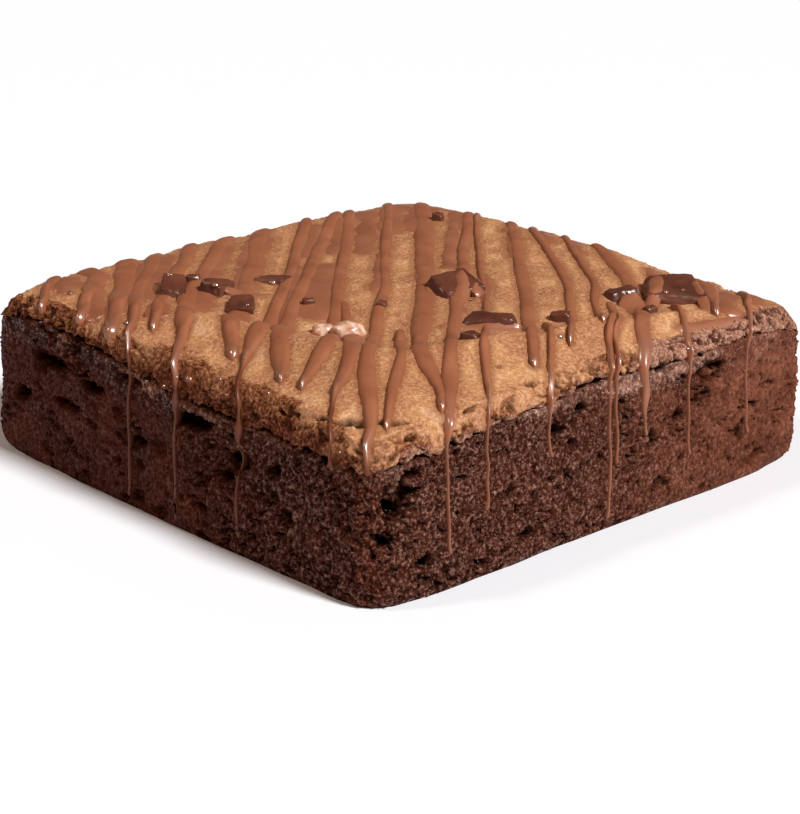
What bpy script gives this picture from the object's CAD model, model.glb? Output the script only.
# %% [markdown]
# # A brookie: brownie below, cookie above, milk chocolate drizzled over both
#
# The solids of the brownie, the cookie and the larger chocolate chunks are already made, and
# are loaded here as a fixed frame. This script gives them their looks. The two baked layers get
# skins with the true crumb, each a fine mesh cast onto its solid and roughened by a node tree.
# The chunks get broken edges, and the small chips, the loose crumbs and the drizzle are added.

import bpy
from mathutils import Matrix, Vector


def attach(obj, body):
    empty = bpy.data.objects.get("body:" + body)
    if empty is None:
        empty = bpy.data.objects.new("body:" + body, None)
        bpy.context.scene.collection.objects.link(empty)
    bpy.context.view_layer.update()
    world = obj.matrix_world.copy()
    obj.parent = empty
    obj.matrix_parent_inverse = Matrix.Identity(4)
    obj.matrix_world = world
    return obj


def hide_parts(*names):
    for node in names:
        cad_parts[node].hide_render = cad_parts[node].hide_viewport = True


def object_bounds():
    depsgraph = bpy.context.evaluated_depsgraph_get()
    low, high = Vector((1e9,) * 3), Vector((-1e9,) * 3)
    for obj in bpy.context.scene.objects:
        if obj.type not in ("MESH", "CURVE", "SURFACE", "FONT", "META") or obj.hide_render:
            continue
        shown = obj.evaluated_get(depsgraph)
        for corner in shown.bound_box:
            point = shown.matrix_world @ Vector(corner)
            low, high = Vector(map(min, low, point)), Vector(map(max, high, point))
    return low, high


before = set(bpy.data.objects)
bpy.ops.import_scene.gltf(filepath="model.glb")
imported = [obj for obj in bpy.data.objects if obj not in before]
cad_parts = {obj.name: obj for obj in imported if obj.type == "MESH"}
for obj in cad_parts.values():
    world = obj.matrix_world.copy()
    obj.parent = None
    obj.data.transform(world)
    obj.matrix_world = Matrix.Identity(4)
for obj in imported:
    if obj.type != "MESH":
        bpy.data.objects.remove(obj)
cad_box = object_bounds()
print("nodes:", ", ".join(sorted(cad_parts)))

# %% Modules and units
import math

import bpy
import numpy as np
from mathutils import Vector
from mathutils.bvhtree import BVHTree
from mathutils.kdtree import KDTree

MM = 0.001
UP = np.array([0.0, 0.0, 1.0])
LOW = np.array(cad_box[0]) / MM
HIGH = np.array(cad_box[1]) / MM
HALF = float(min(HIGH[0], HIGH[1], -LOW[0], -LOW[1]))
print(f"the square is {2 * HALF:.1f} mm wide and {HIGH[2]:.1f} mm high")

# %% [markdown]
# ## Helpers
#
# Shapes are worked out in millimetres and turned to metres once, when a mesh is made. One
# function adds a node to any tree, for shapes and for materials alike. Another runs a node tree
# on a piece and keeps the result as a plain mesh, so nothing is left live on the piece.


# %% Make a mesh, and cast rays at one
def make_piece(name, points, faces, **attributes):
    """A new smooth-shaded object from points in millimetres, with a number kept at each point."""
    mesh = bpy.data.meshes.new(name)
    mesh.from_pydata((np.asarray(points) * MM).tolist(), [], faces)
    for key, values in attributes.items():
        layer = mesh.attributes.new(key, "FLOAT", "POINT")
        layer.data.foreach_set("value", np.asarray(values, np.float32))
    mesh.shade_smooth()
    return place_in_scene(name, mesh)


def place_in_scene(name, data):
    """A new object of a mesh, a light or a camera."""
    thing = bpy.data.objects.new(name, data)
    bpy.context.scene.collection.objects.link(thing)
    return thing


def surface_of(*things):
    """A tree of these pieces' faces to cast rays at, in millimetres."""
    points, faces = [], []
    for thing in things:
        first = len(points)
        points += [v.co / MM for v in thing.data.vertices]
        faces += [[first + i for i in face.vertices] for face in thing.data.polygons]
    return BVHTree.FromPolygons(points, faces)


def cast(surface, starts, directions):
    """Where rays first meet a surface. A ray that meets nothing gives no number."""
    found = np.full((len(starts), 3), math.nan)
    for row, start, direction in zip(found, starts.tolist(), directions.tolist()):
        place = surface.ray_cast(Vector(start), Vector(direction))[0]
        if place is not None:
            row[:] = place
    return found


def ease(share):
    """A share from 0 to 1 that starts and ends gently."""
    return share * share * (3 - 2 * share)


# %% Colours and sizes for node trees
def srgb(code):
    """Linear colour of an sRGB hex code."""
    parts = [int(code[i : i + 2], 16) / 255 for i in (0, 2, 4)]
    return [c / 12.92 if c <= 0.04045 else ((c + 0.055) / 1.055) ** 2.4 for c in parts] + [1.0]


def per_mm(size):
    """Noise scale, for coordinates in metres, that makes features of this many millimetres."""
    return 1 / (size * MM)


# %% Build node trees
# The kinds of node that come back in many trees. The last two read a number that a piece's mesh
# keeps at each point: one in a material, the other in a shape tree.
MATH = "ShaderNodeMath"
VECTOR = "ShaderNodeVectorMath"
RANGE = "ShaderNodeMapRange"
NOISE = "ShaderNodeTexNoise"
CELLS = "ShaderNodeTexVoronoi"
MIX = "ShaderNodeMix"
RAMP = "ShaderNodeValToRGB"
ATTRIBUTE = "ShaderNodeAttribute"
NAMED = "GeometryNodeInputNamedAttribute"


def add(tree, kind, inputs=(), stops=(), **settings):
    """Adds a node with its settings and links.

    The inputs are a list for the inputs in use, in their order, or a dictionary by name. Each is
    a value, one output of another node, or a node, whose first output in use is then linked. A
    colour ramp also has stops of a position and a hex code.
    """
    node = tree.nodes.new(kind)
    for key, value in settings.items():
        setattr(node, key, value)
    in_use = [socket for socket in node.inputs if socket.enabled]
    names = [socket.name for socket in in_use]
    for key, value in inputs.items() if isinstance(inputs, dict) else enumerate(inputs):
        socket = in_use[key if isinstance(key, int) else names.index(key)]
        if isinstance(value, bpy.types.Node):
            value = next(output for output in value.outputs if output.enabled)
        if isinstance(value, bpy.types.NodeSocket):
            tree.links.new(value, socket)
        else:
            socket.default_value = value
    for k, (position, code) in enumerate(stops):
        elements = node.color_ramp.elements
        element = elements[k] if k < len(elements) else elements.new(position)
        element.position, element.color = position, srgb(code)
    return node


def new_material(name):
    """An empty material; returns it with its tree and its coordinates in metres."""
    look = bpy.data.materials.new(name)
    look.use_nodes = True
    look.node_tree.nodes.clear()
    place = add(look.node_tree, "ShaderNodeTexCoord").outputs["Object"]
    return look, look.node_tree, place


def dress(tree, finish):
    """Ends a material in one shader with this finish."""
    shader = add(tree, "ShaderNodeBsdfPrincipled", finish)
    add(tree, "ShaderNodeOutputMaterial", [shader])


def coats(tree, colour, *tints):
    """Colours laid over one another, each a share and a colour."""
    for share, tint in tints:
        colour = add(tree, MIX, [share, colour, tint], data_type="RGBA")
    return colour


def build_up(tree, base, *heights):
    """A base and what is added to it, each a pattern and its height."""
    for pattern, height in heights:
        base = add(tree, MATH, [pattern, height, base], operation="MULTIPLY_ADD")
    return base


# %% Build shape trees, and run one on a piece
def shape_tree(name, sizes):
    """A geometry node tree with a named number input for each size, and its inputs' values."""
    tree = bpy.data.node_groups.new(name, "GeometryNodeTree")
    tree.interface.new_socket("Geometry", in_out="INPUT", socket_type="NodeSocketGeometry")
    for key in sizes:
        tree.interface.new_socket(key, in_out="INPUT", socket_type="NodeSocketFloat")
    tree.interface.new_socket("Geometry", in_out="OUTPUT", socket_type="NodeSocketGeometry")
    return tree, add(tree, "NodeGroupInput").outputs


def place_in_mm(tree):
    """Each point's place in millimetres."""
    position = add(tree, "GeometryNodeInputPosition")
    return add(tree, VECTOR, [position, 1 / MM], operation="SCALE")


def along_normal(tree, distance):
    """A move of each point along its normal."""
    return add(tree, VECTOR, [add(tree, "GeometryNodeInputNormal"), distance], operation="SCALE")


def signed_noise(tree, place, millimetres, detail):
    """Noise about zero, from -1 to 1, with features of this size, for a place in millimetres."""
    noise = add(tree, NOISE, [place, 1 / millimetres, detail])
    return add(tree, MATH, [noise, 2.0, -1.0], operation="MULTIPLY_ADD")


def finish_relief(tree, geometry, offset, hollow, openings, look):
    """Keeps how hollow each point is, from the deepest of its openings, and moves the points."""
    for opening in openings:
        hollow = add(tree, MATH, [hollow, opening], operation="MAXIMUM", use_clamp=True)
    kept = {"Geometry": geometry, "Name": "hollow", "Value": hollow}
    kept = add(tree, "GeometryNodeStoreNamedAttribute", kept)
    moved = add(tree, "GeometryNodeSetPosition", {"Geometry": kept, "Offset": offset})
    finish_tree(tree, moved, look)


def finish_tree(tree, geometry, look):
    """Ends a tree in Realize Instances and Set Material."""
    whole = add(tree, "GeometryNodeRealizeInstances", [geometry])
    dressed = add(tree, "GeometryNodeSetMaterial", {"Geometry": whole, "Material": look})
    add(tree, "NodeGroupOutput", {"Geometry": dressed})


def run_tree(thing, tree, sizes):
    """Runs the tree on a piece with these sizes and keeps the result as its plain mesh."""
    modifier = thing.modifiers.new(tree.name, "NODES")
    modifier.node_group = tree
    for item in tree.interface.items_tree:
        if item.in_out == "INPUT" and item.name in sizes:
            modifier[item.identifier] = sizes[item.name]
    graph = bpy.context.evaluated_depsgraph_get()
    mesh = bpy.data.meshes.new_from_object(
        thing.evaluated_get(graph), preserve_all_data_layers=True, depsgraph=graph
    )
    thing.modifiers.clear()
    thing.data = mesh
    print(f"{thing.name}: {sum(len(face.vertices) - 2 for face in mesh.polygons)} triangles")
    return thing


# %% [markdown]
# ## Brownie crumb
#
# Brownie is a dense, moist crumb: clumped grains of cocoa-dark cake with pores between them.
# Broken grains catch the light as small pinkish-brown points, and the pores stay almost black.
# The colour follows numbers that the mesh keeps at each point: how far it lies inside a pore or
# crack (hollow), how baked it is (crust), and how far the knife dragged it smooth (smeared).
# Fine noise lightens single grains, and a greasy shine sits on torn and baked grains alone. It
# could be one noise and one colour, but then the wet front and the dry back would look the same.

# %% Brownie crumb material
brownie_crumb, tree, place = new_material("brownie_crumb")
hollow, crust, smeared = (
    add(tree, ATTRIBUTE, attribute_name=name).outputs["Fac"]
    for name in ("hollow", "crust", "smeared")
)
patches = add(tree, NOISE, [place, per_mm(6), 4])
grains = add(tree, NOISE, [place, per_mm(0.5), 4, 0.8])
fine = add(tree, NOISE, [place, per_mm(0.3), 3])
from_front = add(tree, "ShaderNodeSeparateXYZ", [place]).outputs["Y"]

moist_body = add(tree, RAMP, [patches], [(0.3, "36160D"), (0.5, "471E13"), (0.7, "5B2D1F")])
dry_body = add(tree, RAMP, [patches], [(0.3, "5E3222"), (0.5, "74412E"), (0.7, "8B543F")])
dryness = add(tree, RANGE, [from_front, -0.008, 0.028])
lit = add(tree, RAMP, [grains], [(0.38, "1E0704"), (0.5, "4C271B"), (0.63, "AA7861")])
contrast = add(tree, RANGE, [smeared, 0, 1, 0.6, 0.2])
baked_skin = add(tree, RAMP, [grains], [(0.34, "54342A"), (0.5, "8C6252"), (0.66, "CDA694")])
baked = add(tree, MATH, [patches, 1.8, crust], operation="MULTIPLY_ADD")
baked = add(tree, RANGE, [baked, 1.3, 2.0])
crumb = coats(tree, moist_body, (dryness, dry_body), (contrast, lit), (baked, baked_skin))
front = add(tree, RANGE, [from_front, -0.037, -0.0392])
warmer = [front, crumb, srgb("F6DFD0")]
crumb = add(tree, MIX, warmer, data_type="RGBA", blend_type="MULTIPLY")
crumb = coats(tree, crumb, (hollow, srgb("140402")))

crusted = add(tree, RANGE, [crust, 0.1, 0.4])
torn_open = add(tree, RANGE, [smeared, 0.0, 0.6, 0.8, 0.0])
greasy = add(tree, MATH, [crusted, torn_open], operation="MAXIMUM")
glints = add(tree, RANGE, [grains, 0.53, 0.58])
sharp = add(tree, RANGE, [smeared, 0, 1, 0.9, 0.35])
bump = add(tree, "ShaderNodeBump", {"Height": fine, "Distance": 0.26 * MM, "Strength": sharp})
finish = {
    "Base Color": crumb,
    "Roughness": add(tree, RANGE, [grains, 0.4, 0.62, 0.8, 0.34]),
    "Normal": bump,
    "Specular IOR Level": add(tree, RANGE, [hollow, 0.0, 0.6, 0.08, 0.0]),
    "Coat Weight": add(tree, MATH, [greasy, glints], operation="MULTIPLY"),
    "Coat Roughness": 0.24,
    "Coat IOR": 1.5,
    "Coat Normal": bump,
}
dress(tree, finish)
print("made", brownie_crumb.name)

# %% [markdown]
# ## Cookie dough
#
# The cookie is a butter dough baked to a fine dry grain. Its top is golden. Its thin lower lip
# is browner, because it baked against the dark batter and soaked up some of it. The shape tree
# leaves the height above the lip at each point, and the colour runs from brown to gold along it,
# with a ragged border. The border climbs along the left side, and at the near corner the gold
# comes almost down to the brownie.

# %% Cookie dough material
cookie_dough, tree, place = new_material("cookie_dough_baked")
above, hollow, soaked = (
    add(tree, ATTRIBUTE, attribute_name=name).outputs["Fac"]
    for name in ("above", "hollow", "soaked")
)
toasting = add(tree, NOISE, [place, per_mm(5), 4])
grain = add(tree, NOISE, [place, per_mm(0.45), 4, 0.75])
ragged = add(tree, NOISE, [place, per_mm(3.6), 5])
fine = add(tree, NOISE, [place, per_mm(0.35), 3])
side = add(tree, "ShaderNodeSeparateXYZ", [place])

near_corner = (HALF * MM, -HALF * MM, 0.02)
from_corner = add(tree, VECTOR, [place, near_corner], operation="DISTANCE")
lower = add(tree, RANGE, [from_corner, 0.005, 0.017, -1.0, -4.4])
higher = add(tree, RANGE, [from_corner, 0.04, 0.05, 0.0, 2.4])
shift = add(tree, MATH, [lower, higher], operation="ADD")
on_left_side = add(tree, RANGE, [side.outputs["Y"], -0.0335, -0.038])
shift = build_up(tree, -6.4, (shift, on_left_side))
shift = build_up(tree, shift, (ragged, 15.0))
height = add(tree, MATH, [above, shift], operation="ADD")
gold_share = add(tree, RANGE, [height, 1.3, 3.3])
toasted_share = add(tree, RANGE, [height, -0.9, 0.3])

GOLD = [(0.32, "855236"), (0.5, "AA7650"), (0.6, "C08F5E"), (0.7, "D4AA86")]
golden = add(tree, RAMP, [toasting], GOLD)
speckle = add(tree, RAMP, [grain], [(0.36, "7E4C2E"), (0.5, "B68059"), (0.64, "E2B893")])
top = coats(tree, golden, (0.5, speckle))
toasted = add(tree, RAMP, [grain], [(0.36, "4A2414"), (0.5, "7A4A31"), (0.64, "AC7A58")])
sodden = add(tree, RAMP, [grain], [(0.36, "32150C"), (0.5, "5C3020"), (0.64, "93614C")])

# Where the drizzle's fat soaked in, the dough is darker, in blots.
blot = build_up(tree, -0.75, (toasting, 1.5))
stain = add(tree, MATH, [soaked, blot], operation="ADD")
stain = add(tree, RANGE, [stain, 0.3, 1.1, 0.0, 0.75])

# Along the right side the lip's foot dried to a pale crust, which is taller away from the corner.
on_right_side = add(tree, RANGE, [side.outputs["X"], 0.0355, 0.0385])
taller = add(tree, RANGE, [side.outputs["Y"], 0.004, 0.013, 1.2, -1.4])
low = add(tree, MATH, [above, taller], operation="ADD")
low = add(tree, RANGE, [build_up(tree, low, (ragged, 4.0)), 4.2, 3.4])
crusty = add(tree, MATH, [on_right_side, low], operation="MULTIPLY")
pale_crust = add(tree, RAMP, [grain], [(0.36, "5C382A"), (0.5, "8C6150"), (0.64, "BE9682")])

dough = coats(
    tree,
    sodden,
    (toasted_share, toasted),
    (gold_share, top),
    (stain, srgb("7A4528")),
    (crusty, pale_crust),
    (hollow, srgb("321509")),
)
dry = add(tree, RANGE, [hollow, 0.0, 0.4, 0.3, 0.02])
finish = {
    "Base Color": dough,
    "Roughness": add(tree, RANGE, [gold_share, 0.0, 1.0, 0.45, 0.62]),
    "Normal": add(tree, "ShaderNodeBump", {"Height": fine, "Distance": 0.16 * MM, "Strength": 0.9}),
    "Specular IOR Level": add(tree, MATH, [dry, gold_share], operation="MULTIPLY"),
}
dress(tree, finish)
print("made", cookie_dough.name)

# %% [markdown]
# ## Chocolates
#
# The drizzle is milk chocolate: cocoa butter sets it to a satin skin, matt from afar, with
# sharp glints on the wet beads and tips that face up. So a clear coat lies over a rougher body,
# strong only where the mesh says that the ribbon is wet. Where the chocolate ran down the side
# as a film, the dark crumb shows through it and browns it. The chunks and chips are dark
# chocolate, duller because they are broken faces.


# %% Chocolate materials
def chocolate(name, shades, roughness, coat, glossy_tips=False):
    """Set chocolate: even colour with faint streaks, a soft body and a thin glossy skin."""
    look, tree, place = new_material(name)
    streaks = add(tree, NOISE, [place, per_mm(5), 3])
    colour = add(tree, RAMP, [streaks], list(zip((0.3, 0.7), shades)))
    waves = add(tree, NOISE, [place, per_mm(1.1), 2])
    bump = {"Height": waves, "Distance": 0.1 * MM, "Strength": 0.35}
    finish = {
        "Base Color": colour,
        "Roughness": roughness,
        "Normal": add(tree, "ShaderNodeBump", bump),
        "IOR": 1.46,
        "Coat Weight": coat,
        "Coat Roughness": 0.26,
        "Coat IOR": 2.8,
    }
    if glossy_tips:
        facing = add(tree, "ShaderNodeNewGeometry").outputs["Normal"]
        rise = add(tree, "ShaderNodeSeparateXYZ", [facing]).outputs["Z"]
        faces_up = add(tree, RANGE, [rise, 0.25, 0.5])
        wet = add(tree, ATTRIBUTE, attribute_name="wet").outputs["Fac"]
        wet = add(tree, MATH, [wet, faces_up], operation="MULTIPLY")
        film = add(tree, ATTRIBUTE, attribute_name="film").outputs["Fac"]
        finish["Coat Weight"] = add(tree, RANGE, [wet, 0, 1, coat / 20, coat])
        finish["Base Color"] = coats(tree, colour, (film, srgb("623422")))
        finish["Specular IOR Level"] = add(tree, RANGE, [film, 0, 1, 0.5, 0.1])
    dress(tree, finish)
    print("made", name)
    return look


milk_chocolate = chocolate("milk_chocolate_drizzle", ("874F34", "985E41"), 0.5, 1.0, glossy_tips=True)
dark_chocolate = chocolate("dark_chocolate_chunk", ("481F14", "6A3B2A"), 0.4, 0.1)

# %% [markdown]
# ## Rings round the square
#
# Both skins are laid out the same way: rings of points round the square, from its middle over
# the edge and down the side. A square of unit size is mapped onto one with rounded corners, so
# the columns stay evenly spaced, and each border point knows which way faces outwards.


# %% Rounded square and rings
def rounded_border(u, v, radius):
    """Moves unit square border points onto a border with rounded corners; gives normals too."""
    small = np.minimum(abs(u), abs(v))
    turn = np.clip((small - (1 - radius)) / radius, 0, 1) * math.pi / 4
    far = np.where(turn > 0, 1 - radius + radius * np.cos(turn), 1)
    near = np.where(turn > 0, 1 - radius + radius * np.sin(turn), small)
    signs = np.stack([np.sign(u), np.sign(v)], 1)
    on_side = (abs(u) >= abs(v))[:, None]
    border = np.where(on_side, np.stack([far, near], 1), np.stack([near, far], 1))
    facing = np.stack([np.cos(turn), np.sin(turn)], 1)
    return border * signs, np.where(on_side, facing, facing[:, ::-1]) * signs


def border_columns(squares, radius):
    """Border points and normals of the rounded unit square, anticlockwise from the -X -Y corner."""
    run = np.linspace(-1, 1, squares + 1)[:-1]
    one = np.ones(squares)
    u = np.concatenate([run, one, -run, -one])
    v = np.concatenate([-one, run, one, -run])
    return rounded_border(u, v, radius)


def join_rings(ring_count, around, first=0):
    """Faces between neighbouring rings of the same number of points."""
    here = np.arange(around)
    after = (here + 1) % around
    faces = []
    for k in range(ring_count - 1):
        inner, outer = first + k * around, first + (k + 1) * around
        faces += np.stack([outer + here, outer + after, inner + after, inner + here], 1).tolist()
    return faces


def fan(centre, ring, around, upwards):
    """Triangles from one centre point to a ring."""
    here = np.arange(around)
    after = (here + 1) % around
    pair = (here, after) if upwards else (after, here)
    return [[centre, ring + a, ring + b] for a, b in zip(pair[0].tolist(), pair[1].tolist())]


def closed_faces(ring_count, around, first=0):
    """Faces of a closed shell: its rings, then the first ring's centre and the last ring's."""
    centre = first + ring_count * around
    faces = join_rings(ring_count, around, first)
    faces += fan(centre, first, around, upwards=True)
    return faces + fan(centre + 1, centre - around, around, upwards=False)


# %% [markdown]
# ## The brownie's skin
#
# Rays are cast level at the brownie solid, column by column and row by row, so the skin has its
# taper and its worn foot. The rows lie as close as the columns, about a quarter of a millimetre,
# which is fine enough to model single clumps of crumb. A sculpted or subdivided solid would put
# most of its points where nothing shows, on the flat top under the cookie.

# %% Cast the brownie's skin
BROWNIE_SQUARES = 296
BROWNIE_ROWS = 72
BROWNIE_CORNER = 3.5
RIM_INSET = 0.8
MID_WALL = 15.0
FOOT_INSET = 4.0

brownie_solid = surface_of(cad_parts["brownie_base"])
border, outward = border_columns(BROWNIE_SQUARES, BROWNIE_CORNER / HALF)
around = len(border)


def ring_at(inset):
    """Points round the square this far in from its border."""
    return border * HALF - outward * inset


def cast_level(height):
    """The brownie's wall at this height in each column."""
    starts = np.column_stack([ring_at(-6.0), height])
    return cast(brownie_solid, starts, -np.column_stack([outward, np.zeros(around)]))


def cast_down(surface, ring):
    """The upper side of a solid under a ring of points."""
    starts = np.column_stack([ring, np.full(len(ring), 2 * HALF)])
    return cast(surface, starts, np.tile(-UP, (len(ring), 1)))


rim = cast_level(np.full(around, MID_WALL))[:, :2] - outward * RIM_INSET
rim_height = cast_down(brownie_solid, rim)[:, 2]
rings = [cast_down(brownie_solid, border * HALF * share) for share in (0.3, 0.7, 0.93)]
top_rings = len(rings)
for row in range(BROWNIE_ROWS + 1):
    share = 1 - row / BROWNIE_ROWS
    level = np.maximum(rim_height * share - 0.05, 0.02)
    wall = cast_level(level)
    wall[:, 2] = level if share > 0 else 0.0
    rings.append(wall)
rings.append(np.column_stack([ring_at(FOOT_INSET), np.zeros(around)]))
points = np.concatenate(rings + [[[0, 0, rim_height.mean()]], [[0, 0, 0]]])
print("missed rays:", int(np.isnan(points).any(axis=1).sum()))

# %% Close the brownie's skin and say where it may be rough
CRUST_DEPTH = 5.0
# Places where a piece of crumb fell out: middle, half sizes, depth.
POCKETS = [
    ((HALF + 0.4, -HALF + 4.2, 13.2), (4.0, 2.8, 2.8), 2.9),
    ((HALF, -HALF + 1.6, 9.0), (3.0, 1.8, 1.3), 2.0),
    ((HALF, 20.5, 17.0), (3.0, 2.6, 1.9), 2.6),
    ((HALF, 14.0, 12.4), (3.0, 1.3, 1.0), 1.6),
    ((HALF, 8.5, 10.2), (3.0, 0.9, 1.2), 1.5),
    ((HALF, -18.0, 9.6), (3.0, 2.4, 0.8), 1.2),
    ((5.0, -HALF, 15.4), (4.2, 3.0, 1.3), 2.2),
    ((15.0, -HALF, 12.6), (2.2, 3.0, 1.6), 2.0),
    ((-8.0, -HALF, 17.6), (3.6, 3.0, 0.8), 1.1),
    ((-17.0, -HALF, 14.6), (3.0, 3.0, 1.0), 1.6),
    ((-27.0, -HALF, 15.8), (4.4, 3.0, 1.1), 1.8),
    ((-34.0, -HALF, 9.6), (1.8, 3.0, 1.6), 1.8),
    ((-23.0, -HALF, 10.4), (3.4, 3.0, 0.8), 1.3),
    ((24.0, -HALF, 7.8), (1.6, 3.0, 1.2), 1.4),
    ((-HALF, 18.0, 13.5), (3.0, 3.6, 1.2), 1.8),
    ((-HALF, -9.0, 9.0), (3.0, 1.8, 1.5), 1.6),
    ((-14.0, HALF, 14.2), (3.2, 3.0, 1.3), 1.8),
    ((21.0, HALF, 10.8), (2.0, 3.0, 1.5), 1.6),
]
# Places under the lip and at the near corner that baked to a pale skin: middle, half sizes.
PALE_PATCHES = [
    ((HALF, 14.0, 19.4), (4.0, 8.0, 2.4)),
    ((HALF, 5.0, 19.5), (4.0, 5.5, 1.8)),
    ((HALF, -12.0, 19.6), (4.0, 5.0, 1.2)),
    ((HALF, -24.0, 19.8), (4.0, 4.0, 1.0)),
    ((19.0, -HALF, 18.6), (6.0, 4.0, 1.4)),
    ((7.0, -HALF, 19.2), (6.0, 4.0, 1.3)),
    ((-4.0, -HALF, 18.4), (6.0, 4.0, 1.5)),
    ((HALF - 3.0, -HALF + 3.0, 18.4), (3.4, 3.4, 1.4)),
    ((HALF - 0.5, -HALF + 1.2, 9.4), (1.4, 1.4, 1.3)),
]

rough, crust, pocket = (np.zeros(len(points)) for _ in range(3))
for row in range(BROWNIE_ROWS + 1):
    first = (top_rings + row) * around
    rough[first : first + around] = min(1.0, (BROWNIE_ROWS - row) * 0.22)
    below_rim = row / BROWNIE_ROWS * rim_height / CRUST_DEPTH
    crust[first : first + around] = 0.5 * np.clip(1 - below_rim, 0, 1)
for spot, radii in PALE_PATCHES:
    away = np.linalg.norm((points - spot) / radii, axis=1)
    crust = np.maximum(crust, 1.2 * np.clip(1.5 - away, 0, 1))
for spot, radii, depth in POCKETS:
    away = np.linalg.norm((points - spot) / radii, axis=1)
    away += 0.22 * np.sin(points @ (1.9, 1.3, 2.7)) * np.sin(points @ (2.3, -1.7, 1.1))
    pocket = np.maximum(pocket, ease(np.clip((1 - away) / 0.3, 0, 1)) * depth)
# The knife dragged the crumb smooth along the far parts of the two near sides.
smeared = np.clip((HALF - points[:, 0] + 0.5 * (points[:, 1] + HALF) - 16.0) / 26.0, 0, 1)
faces = closed_faces(len(rings), around)
brownie_skin = make_piece(
    "brownie_crumb_skin", points, faces, rough=rough, crust=crust, pocket=pocket, smeared=smeared
)
print(f"{len(points)} points, a row every {rim_height.mean() / BROWNIE_ROWS:.2f} mm")

# %% [markdown]
# ## Crumb relief
#
# The crumb is built up from four things at four sizes: a slow swell of the cut side, clumps,
# single grains, and pores. Grains and pores come from cell patterns, because both are packed
# round shapes. Pores are flattened, as bubbles are under the weight of the batter, and only some
# cells hold one. Thin level cracks run between them. The tree moves each point along its normal
# and keeps how hollow it is, so that the material darkens the same pores that the shape has.

# %% Crumb relief tree
CRUMB = {
    "Swell": 0.5,
    "Lump": 1.7,
    "Lump height": 0.32,
    "Rag height": 0.5,
    "Grain": 0.4,
    "Grain height": 0.42,
    "Large pore": 4.6,
    "Large depth": 1.8,
    "Small pore": 1.6,
    "Small depth": 0.6,
    "Crack depth": 1.0,
    "Smear": -0.55,
    "Sink": -0.2,
}
tree, size = shape_tree("crumb_relief", CRUMB)
place = place_in_mm(tree)
rough, pocket, smeared = (add(tree, NAMED, [name]) for name in ("rough", "pocket", "smeared"))
bend = add(tree, NOISE, [place, 0.5, 2]).outputs["Color"]
warp = add(tree, VECTOR, [bend, (2.6, 2.6, 2.6), place], operation="MULTIPLY_ADD")
crisp = build_up(tree, 1.0, (smeared, size["Smear"]))


def cells(spacing, flattening):
    """Packed cells of this spacing, flattened upwards."""
    flat = add(tree, VECTOR, [warp, (1, 1, flattening)], operation="MULTIPLY")
    scale = add(tree, MATH, [1.0, spacing], operation="DIVIDE")
    return add(tree, CELLS, {"Vector": flat, "Scale": scale})


def pores(spacing, flattening, rarity, rim):
    """One in the pores and zero outside. A cell holds a pore if its chance beats the rarity."""
    cell = cells(spacing, flattening)
    chance = add(tree, "FunctionNodeSeparateColor", [cell.outputs["Color"]])
    reach = add(tree, RANGE, [chance, rarity, 1.0, 0.0, 0.5])
    edge = add(tree, MATH, [reach, cell], operation="SUBTRACT")
    open_part = add(tree, RANGE, [edge, 0.0, rim], interpolation_type="SMOOTHSTEP")
    return add(tree, MATH, [open_part, crisp], operation="MULTIPLY")


lump = add(tree, MATH, [0.42, cells(size["Lump"], 1.3)], operation="SUBTRACT")
grain = add(tree, MATH, [0.45, cells(size["Grain"], 1.0)], operation="SUBTRACT")
relief = add(tree, MATH, [lump, size["Lump height"]], operation="MULTIPLY")
rag = signed_noise(tree, place, 1.0, 3)
relief = build_up(tree, relief, (rag, size["Rag height"]), (grain, size["Grain height"]))
relief = add(tree, MATH, [relief, crisp], operation="MULTIPLY")

large = pores(size["Large pore"], 2.0, 0.76, 0.16)
small = pores(size["Small pore"], 1.6, 0.58, 0.2)
level = add(tree, VECTOR, [warp, (0.15, 0.15, 0.6)], operation="MULTIPLY")
crack = add(tree, MATH, [add(tree, NOISE, [level, 1.0, 2]), 0.5], operation="SUBTRACT")
crack = add(tree, MATH, [crack], operation="ABSOLUTE")
crack = add(tree, RANGE, [crack, 0.025, 0.005])
cracked_patch = add(tree, RANGE, [add(tree, NOISE, [place, 0.13, 1]), 0.48, 0.58])
cracks = add(tree, MATH, [crack, cracked_patch], operation="MULTIPLY")

down = build_up(
    tree,
    size["Sink"],
    (large, size["Large depth"]),
    (small, size["Small depth"]),
    (cracks, size["Crack depth"]),
)
down = add(tree, MATH, [down, pocket], operation="ADD")
move = add(tree, MATH, [relief, down], operation="SUBTRACT")
move = build_up(tree, move, (signed_noise(tree, place, 8, 1), size["Swell"]))
for factor in (rough, MM):
    move = add(tree, MATH, [move, factor], operation="MULTIPLY")

# %% Keep how hollow the crumb is, and run the tree
low = add(tree, MATH, [small, 0.5], operation="MULTIPLY")
low = add(tree, MATH, [relief, low], operation="SUBTRACT")
hollow = add(tree, RANGE, [low, 0.1, -0.5])
shallow_pocket = add(tree, MATH, [pocket, 0.6], operation="MULTIPLY")
openings = (large, cracks, shallow_pocket)
offset = along_normal(tree, move)
finish_relief(tree, size["Geometry"], offset, hollow, openings, brownie_crumb)
run_tree(brownie_skin, tree, CRUMB)

# %% [markdown]
# ## The cookie's skin
#
# The top is an even grid, cast straight down onto the cookie solid. Round its border the skin
# turns over the edge: from a line inside the dough, rays fan out from straight up to straight
# down, so the rounded lip and the overhang above the brownie are both followed.

# %% Cast the cookie's top
COOKIE_SQUARES = 238
COOKIE_CORNER = 1.5
LIP_INSET = 3.2
LIP_ROWS = 34

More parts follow.
